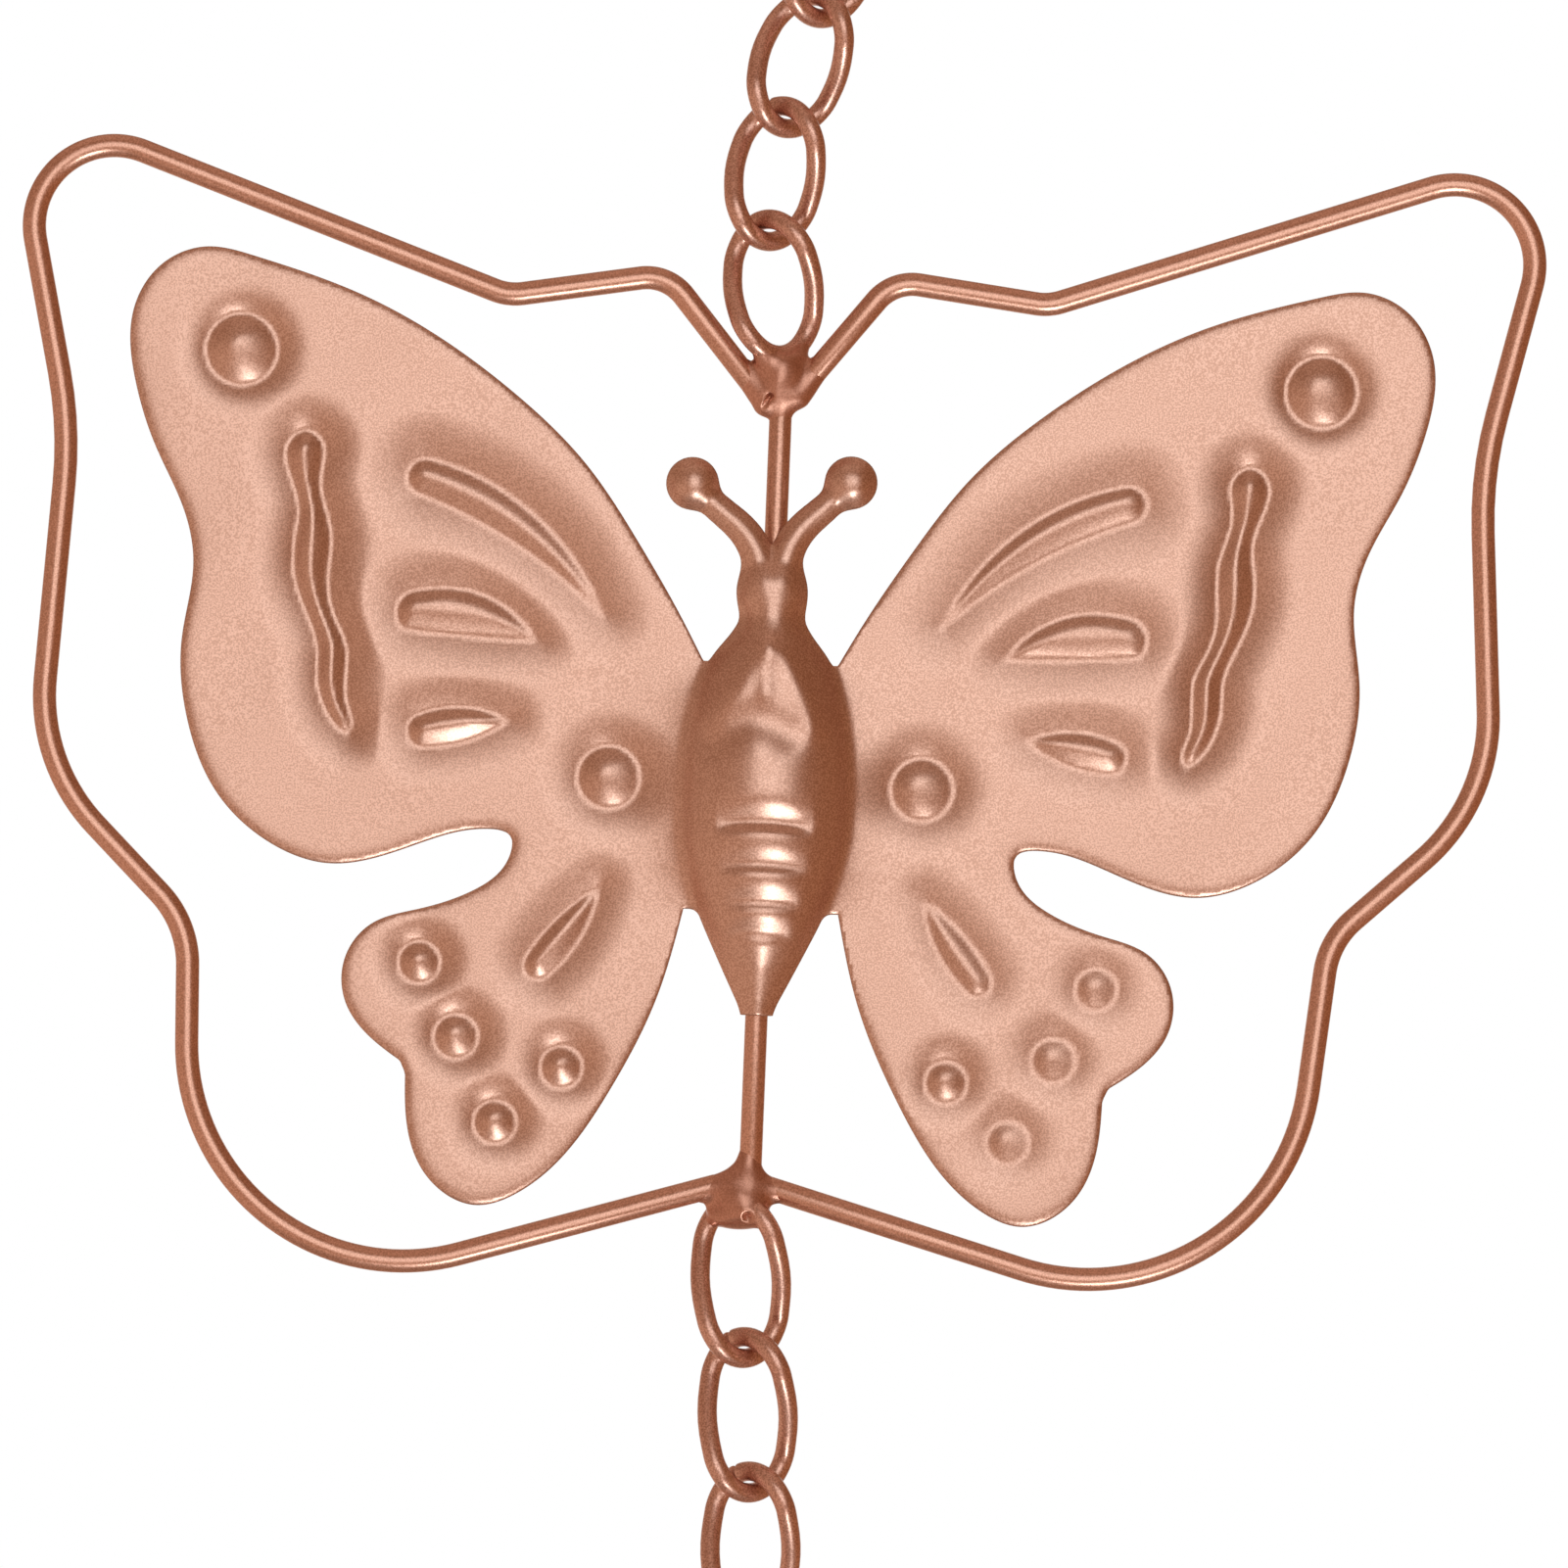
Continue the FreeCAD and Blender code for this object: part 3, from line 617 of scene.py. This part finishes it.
def bodyDome(across, up):
    # half oval sections, depth * (1 - (across / half width) ** 2) ** power, part keel towards the tail,
    # with grooves that sag at their ends and bell-shaped ridges; it falls away outside its outline
    half = np.interp(up, bodyUp, bodyHalf)
    share = np.abs(across) / half
    over = np.maximum(np.maximum(bodyUp[0] - up, up - bodyUp[-1]), 0)
    tall = bodyLook["depth"] * np.interp(up, bodyUp, bodyShare)
    for level, depth, length, width in bodyLook["grooves"]:
        sag = level - bodyLook["grooveSag"] * across ** 2
        fade = np.clip(1 - (np.abs(across) / length) ** 4, 0, 1)
        above = np.where(up > sag, (up - sag) / width, (sag - up) / bodyLook["grooveLower"])
        tall = tall - depth * fade * np.exp(-above ** 2)
    wide = np.clip(1 - share ** 2, 0, 1)
    keel = bodyLook["keelShare"] * np.clip((bodyLook["keelStart"] - up) / bodyLook["keelGrows"], 0, 1)
    crest = np.clip(bodyLook["keelCrest"] - np.sqrt(share ** 2 + bodyLook["keelSoft"]), 0, 1)
    body = tall * (wide ** bodyLook["roundPower"] * (1 - keel) + crest * keel)
    body = body - np.clip(share - 1, 0, None) * half * bodyLook["sideFall"] - over * bodyLook["endFall"]
    for height, width, line in bodyLook["ridges"]:
        body = body + height * ridge(across, up, line, width) * wide
    return body


def headDome(across, up):
    # half round stems, and balls that rise by a share of their roundness, softly joined and sunk a little
    outside = headLook["outsideFall"] * np.clip(headField(across, up), 0, None)
    across, up = headTurned(across, up)
    away, radius = feelerParts(across, up)
    dome = np.sqrt(np.clip(1 - (away / radius) ** 2, 0, 1)) * (radius + headLook["stemRise"])
    for part in ("tip", "head"):
        ball = headLook[part]
        square = ball[2] ** 2 - (np.abs(across) - ball[0]) ** 2 - (up - ball[1]) ** 2
        dome = softMax(dome, np.sqrt(np.clip(square, 0, None)) * headLook[part + "Rise"], joins[part])
    return dome - outside - headLook["sink"]


def raised(across, up):
    # height of the sheet's front over its plane: waves as products of sines, a fillet beside the body that
    # falls off by exp(-gap / reach), less the motifs, and the domes softly joined over them
    look = stampLook
    broad = [np.sin(value * turns + start) for value, (turns, start)
             in ((across, look["broadAcross"]), (up, look["broadUp"]))]
    fine = np.sin(across * look["fineAcross"] - up * look["fineUp"])
    wave = look["broadWave"] * broad[0] * broad[1] + look["fineWave"] * fine
    gap = np.clip(np.abs(across) - np.interp(up, bodyUp, bodyHalf), 0, None)
    fillet = look["fillet"] * np.exp(-gap / look["filletReach"])
    fillet = fillet * np.clip((look["filletEnd"] - np.abs(up)) / look["filletFade"], 0, 1)
    plate = wave * grown(np.abs(across), *look["waveAcross"]) + fillet - pressed(across, up)
    domes = softMax(bodyDome(across, up), headDome(across, up), joins["neck"])
    return softMax(plate, domes, joins["plate"])


def slopes(field, across, up):
    # change of a field for each millimetre across and up
    step = stampLook["probe"]
    return ((field(across + step, up) - field(across - step, up)) / (2 * step),
            (field(across, up + step) - field(across, up - step)) / (2 * step))


def stamping():
    # cells of a square grid inside the outline; corners on the border move onto the outline
    cell = stampLook["cell"]
    gridA = np.arange(*stampLook["gridAcross"], cell)
    gridU = np.arange(*stampLook["gridUp"], cell)
    rows, columns = len(gridU), len(gridA)
    middleA, middleU = np.meshgrid(gridA[:-1] + cell / 2, gridU[:-1] + cell / 2)
    kept = (sheetField(middleA.ravel(), middleU.ravel()) < 0).reshape(rows - 1, columns - 1)
    for again in range(4):  # cells that meet only at a corner get a neighbour
        falling = kept[1:, :-1] & kept[:-1, 1:] & ~kept[:-1, :-1] & ~kept[1:, 1:]
        rising = kept[:-1, :-1] & kept[1:, 1:] & ~kept[1:, :-1] & ~kept[:-1, 1:]
        kept[:-1, :-1] |= falling
        kept[1:, :-1] |= rising
    padded = np.pad(kept, 1)
    low, left = np.nonzero(kept)
    corner = low * columns + left
    cells = np.stack([corner, corner + 1, corner + columns + 1, corner + columns], 1)
    borders = []
    for first, (stepU, stepA) in enumerate(((-1, 0), (0, 1), (1, 0), (0, -1))):
        bare = ~padded[low + 1 + stepU, left + 1 + stepA]
        borders.append(np.stack([cells[bare, first], cells[bare, (first + 1) % 4]], 1))
    borders = np.concatenate(borders)
    used, cells = np.unique(cells, return_inverse=True)
    cells = cells.reshape(-1, 4)
    borders = np.searchsorted(used, borders)
    across, up = gridA[used % columns], gridU[used // columns]

    rim = np.unique(borders)
    rimA, rimU = across[rim].copy(), up[rim].copy()
    leastSteep = 0.2
    for again in range(5):  # Newton steps onto the outline
        here = sheetField(rimA, rimU)
        slopeA, slopeU = slopes(sheetField, rimA, rimU)
        steep = np.maximum(slopeA ** 2 + slopeU ** 2, leastSteep)
        rimA = rimA - here * slopeA / steep
        rimU = rimU - here * slopeU / steep
    steep = np.sqrt(steep)
    bevel = stampLook["edgeRound"]
    across[rim] = rimA - bevel * slopeA / steep
    up[rim] = rimU - bevel * slopeU / steep

    # the wings' rim droops by depth * exp(-distance / reach); the back follows the front by the wall
    inward = np.clip(-loopField(across, up, wingLoop), 0, None)
    droop = stampLook["droop"] * np.exp(-inward / stampLook["droopReach"])
    front = raised(across, up) - droop * grown(np.abs(across), *stampLook["droopAcross"])
    slopeA, slopeU = slopes(raised, across, up)
    slant = np.minimum(np.sqrt(1 + slopeA ** 2 + slopeU ** 2), stampLook["mostSlant"])
    domed = front > stampLook["raisedFrom"]
    behind = np.where(domed, np.maximum(front - slant * sheet, -sheet), front - sheet)

    count, edge = len(across), len(rim)
    depth = stampLook["front"]
    points = np.concatenate([np.stack(layer, 1) for layer in (
        (across, depth - front, up), (across, depth - behind, up),
        (rimA, depth - front[rim] + bevel, rimU), (rimA, depth - behind[rim] - bevel, rimU))])
    onRim = np.searchsorted(rim, borders)
    start, end = borders[:, 0], borders[:, 1]
    startRim, endRim = onRim[:, 0] + 2 * count, onRim[:, 1] + 2 * count
    quads = np.concatenate([
        cells, cells[:, ::-1] + count,
        np.stack([start, startRim, endRim, end], 1),
        np.stack([startRim, startRim + edge, endRim + edge, endRim], 1),
        np.stack([startRim + edge, start + count, end + count, endRim + edge], 1)])
    return points, quads


points, quads = stamping()
addPiece(stampLook, points, quads, np.zeros((0, 3), int))
print("stamping made,", 2 * len(quads), "triangles")

# Welds: an oval core and a tapered run along each wire that meets in it, softly joined;
# flats are a direction and a distance, runs two ends and their radii, dents a place, width and depth
weldMesh = {"rings": 80, "sides": 120, "nearest": 0.3, "farthest": 7.2, "steps": 140, "flatSoft": 0.5}
weldLooks = [
    {"piece": "topLump", "node": "top_weld", "middle": (-0.1, 0.0, 42.9), "core": (-0.1, 0.0, 43.2),
     "sizes": (3.3, 2.3, 2.9), "soft": 1.1,
     "flats": [((-0.5, -0.85, 0.15), 1.9), ((0.6, -0.8, -0.1), 1.7)],
     "runs": [((-1.6, 0, 40.6), (-5.1, 0, 44.7), 1.5, 1.0), ((1.6, 0, 41.4), (4.9, 0, 45.6), 1.55, 1.0),
              ((0, 0, 42.5), (0, 0, 37.6), 1.75, 0.95), ((-0.4, 0, 43.6), (-2.9, -1.9, 46.6), 1.7, 0.85),
              ((0.4, 0, 43.8), (2.1, 1.9, 47.2), 1.7, 0.85),
              ((-1.5, -0.1, 41.2), (-1.75, -0.2, 39.9), 0.75, 0.5)],
     "dents": [((-1.2, 41.0), 0.3, 0.8)]},
    {"piece": "bottomLump", "node": "bottom_weld", "middle": (-1.0, 0.0, -44.6), "core": (-1.2, 0.0, -45.0),
     "sizes": (3.2, 2.4, 2.4), "soft": 1.3,
     "flats": [((-0.55, -0.82, 0.2), 1.9)],
     "runs": [((-0.6, 0, -43.6), (0, 0, -38.4), 2.1, 0.95), ((-1.8, 0, -42.5), (-6.5, 0, -43.8), 1.5, 1.0),
              ((0.4, 0, -42.6), (5.0, 0, -43.7), 1.5, 1.0),
              ((-1.6, 0.3, -44.8), (-3.9, 1.95, -46.6), 1.7, 0.9),
              ((-0.6, -0.3, -44.8), (1.6, -2.0, -46.4), 1.7, 0.9)],
     "dents": [((-0.1, -45.9), 0.85, -0.4), ((-0.1, -45.9), 0.42, 1.0)]},
]
for name, node, up in (("headDrop", "head_tack", 22.6), ("tailDrop", "tail_tack", -22.4)):
    weldLooks.append({"piece": name, "node": node, "middle": (0.0, -1.45, up), "core": (0.0, -1.45, up),
                      "sizes": (0.95, 0.7, 0.95), "soft": 0.3, "flats": [], "runs": [], "dents": []})


def weldField(look, points):
    # about the distance to the weld's skin, negative inside: an oval cut by flats, then tapered round runs
    # softly joined to it, then dents and rims as bell curves on the front
    off = points - look["core"]
    field = (np.linalg.norm(off / look["sizes"], axis=-1) - 1) * min(look["sizes"])
    for way, far in look["flats"]:
        field = softMax(field, off @ (np.array(way) / np.linalg.norm(way)) - far, weldMesh["flatSoft"])
    for start, end, wide, narrow in look["runs"]:
        run = np.subtract(end, start)
        share = np.clip((points - start) @ run / (run @ run), 0, 1)
        away = np.linalg.norm(points - start - share[..., None] * run, axis=-1)
        field = softMin(field, away - wide - (narrow - wide) * share, look["soft"])
    for (across, up), wide, deep in look["dents"]:
        away = np.hypot(points[..., 0] - across, points[..., 2] - up)
        field = field + deep * np.exp(-(away / wide) ** 2) * (points[..., 1] < 0)
    return field


def lump(look):
    # over a sphere of directions, the distance from the middle at which the weld's field first turns positive
    rings, sides = weldMesh["rings"], weldMesh["sides"]
    turn = np.linspace(0, 2 * np.pi, sides, endpoint=False)
    fall = np.linspace(0, np.pi, rings + 2)[1:-1]
    ways = np.stack([np.outer(np.sin(fall), np.cos(turn)), np.outer(np.sin(fall), np.sin(turn)),
                     np.outer(np.cos(fall), np.ones(sides))], -1).reshape(-1, 3)
    ways = np.concatenate([ways, [[0, 0, 1.0], [0, 0, -1.0]]])
    steps = np.linspace(weldMesh["nearest"], weldMesh["farthest"], weldMesh["steps"])
    field = weldField(look, look["middle"] + ways[:, None] * steps[None, :, None])
    after = np.clip((field > 0).argmax(1), 1, None)
    line = np.arange(len(ways))
    low, high = field[line, after - 1], field[line, after]
    reach = steps[after - 1] + (steps[1] - steps[0]) * np.clip(-low / (high - low), 0, 1)
    points = look["middle"] + ways * reach[:, None]
    top, bottom, last = rings * sides, rings * sides + 1, (rings - 1) * sides
    triangles = np.concatenate([fan(top, 0, sides), fan(bottom, last, sides)[:, ::-1]])
    return points, ringFaces(rings, sides)[:, ::-1], triangles


for look in weldLooks:
    look["body"], look["slot"] = "butterfly_unit", "weld"
    addPiece(look, *lump(look))
print("welds made")

# Camera square to the butterfly, the picture turned a little; metres and degrees from here on
cameraLook = {"lens": 216.2, "sensor": 36.0, "near": 0.05, "tilt": 2.3, "place": (-0.002366, -1.0, -0.09479)}
camera = bpy.data.objects.new("camera", bpy.data.cameras.new("camera"))
scene.collection.objects.link(camera)
scene.camera = camera
camera.data.lens = cameraLook["lens"]
camera.data.sensor_width = cameraLook["sensor"]
camera.data.clip_start = cameraLook["near"]
cosTilt, sinTilt = math.cos(math.radians(cameraLook["tilt"])), math.sin(math.radians(cameraLook["tilt"]))
camera.matrix_world = Matrix(((cosTilt, -sinTilt, 0, cameraLook["place"][0]),
                              (0, 0, -1, cameraLook["place"][1]),
                              (sinTilt, cosTilt, 0, cameraLook["place"][2]), (0, 0, 0, 1)))

# Lights: a broad soft one in front, a small one low on the right, both turned to the butterfly
butterflyMiddle = Vector((-0.0043, 0, -0.0948))
lamps = [
    {"name": "front", "right": 6.0, "up": 9.0, "far": 2.0, "size": (1.55, 1.55), "power": 8.0},
    {"name": "low", "right": 16.0, "up": -49.0, "far": 1.4, "size": (0.30, 0.24), "power": 5.6},
]
for look in lamps:
    lamp = bpy.data.lights.new(look["name"], "AREA")
    lamp.shape = "RECTANGLE"
    lamp.size, lamp.size_y = look["size"]
    lamp.energy = look["power"]
    holder = bpy.data.objects.new(look["name"], lamp)
    scene.collection.objects.link(holder)
    turn, rise = math.radians(look["right"]), math.radians(look["up"])
    way = Vector((math.sin(turn) * math.cos(rise), -math.cos(turn) * math.cos(rise), math.sin(rise)))
    holder.location = butterflyMiddle + way * look["far"]
    holder.rotation_mode = "QUATERNION"
    holder.rotation_quaternion = (-way).to_track_quat("-Z", "Y")
    holder.visible_camera = False

# Room: copper tints, pale on the left, straight below and overhead, dim on the right and above, with a
# white backdrop for the camera and for reflections of what is behind; ranges are of the way's share
roomLook = {"left": (0.64, 0.385, 0.275), "right": (0.38, 0.166, 0.081), "sideRange": (-0.9, 0.6),
            "above": (0.25, 0.115, 0.062), "aboveRange": (-0.5, 0.6), "aboveShare": 0.62,
            "below": (0.64, 0.45, 0.355), "belowRange": (0.55, 1.0), "belowShare": 0.6,
            "overhead": (0.56, 0.34, 0.25), "overheadRange": (0.6, 0.95), "overheadShare": 0.8,
            "white": (1.0, 1.0, 1.0), "behindRange": (0.80, 0.95)}
world = bpy.data.worlds.new("room")
scene.world = world
world.use_nodes = True
tree = world.node_tree
tree.nodes.clear()
way = Value.make(tree, "ShaderNodeTexCoord", {}, {}, "Generated")
acrossWay = Value.make(tree, "ShaderNodeSeparateXYZ", {}, {0: way}, "X")
depthWay, upWay = acrossWay.other("Y"), acrossWay.other("Z")
room = mixed(tree, acrossWay.smooth(*roomLook["sideRange"]), roomLook["left"], roomLook["right"])
for part, rising in (("above", upWay), ("below", 0.0 - upWay), ("overhead", upWay)):
    share = rising.smooth(*roomLook[part + "Range"]) * roomLook[part + "Share"]
    room = mixed(tree, share, room, roomLook[part])
direct = Value.make(tree, "ShaderNodeLightPath", {}, {}, "Is Camera Ray")
glossy, through = direct.other("Is Glossy Ray"), direct.other("Is Transmission Ray")
white = direct + through + glossy * depthWay.smooth(*roomLook["behindRange"])
colour = mixed(tree, white.math("MINIMUM", white, 1.0), room, roomLook["white"])
backdrop = Value.make(tree, "ShaderNodeBackground", {}, {"Color": colour, "Strength": 1.0})
Value.make(tree, "ShaderNodeOutputWorld", {}, {"Surface": backdrop})

# Floor: a pale disc well below the tail link
floorLook = {"middle": -0.0043, "radius": 0.5, "level": -0.70, "points": 96,
             "colour": (0.8, 0.8, 0.8, 1), "rough": 0.8}
angle = np.linspace(0, 2 * np.pi, floorLook["points"], endpoint=False)
disc = np.stack([floorLook["middle"] + floorLook["radius"] * np.cos(angle),
                 floorLook["radius"] * np.sin(angle), np.full(len(angle), floorLook["level"])], 1)
floorMesh = bpy.data.meshes.new("floor")
floorMesh.from_pydata(disc.tolist(), [], [list(range(len(angle)))])
floor = bpy.data.objects.new("floor", floorMesh)
scene.collection.objects.link(floor)
pale = bpy.data.materials.new("palePaint")
pale.use_nodes = True
paleInputs = pale.node_tree.nodes["Principled BSDF"].inputs
paleInputs["Base Color"].default_value = floorLook["colour"]
paleInputs["Roughness"].default_value = floorLook["rough"]
floorMesh.materials.append(pale)
print("camera, lights and floor made")
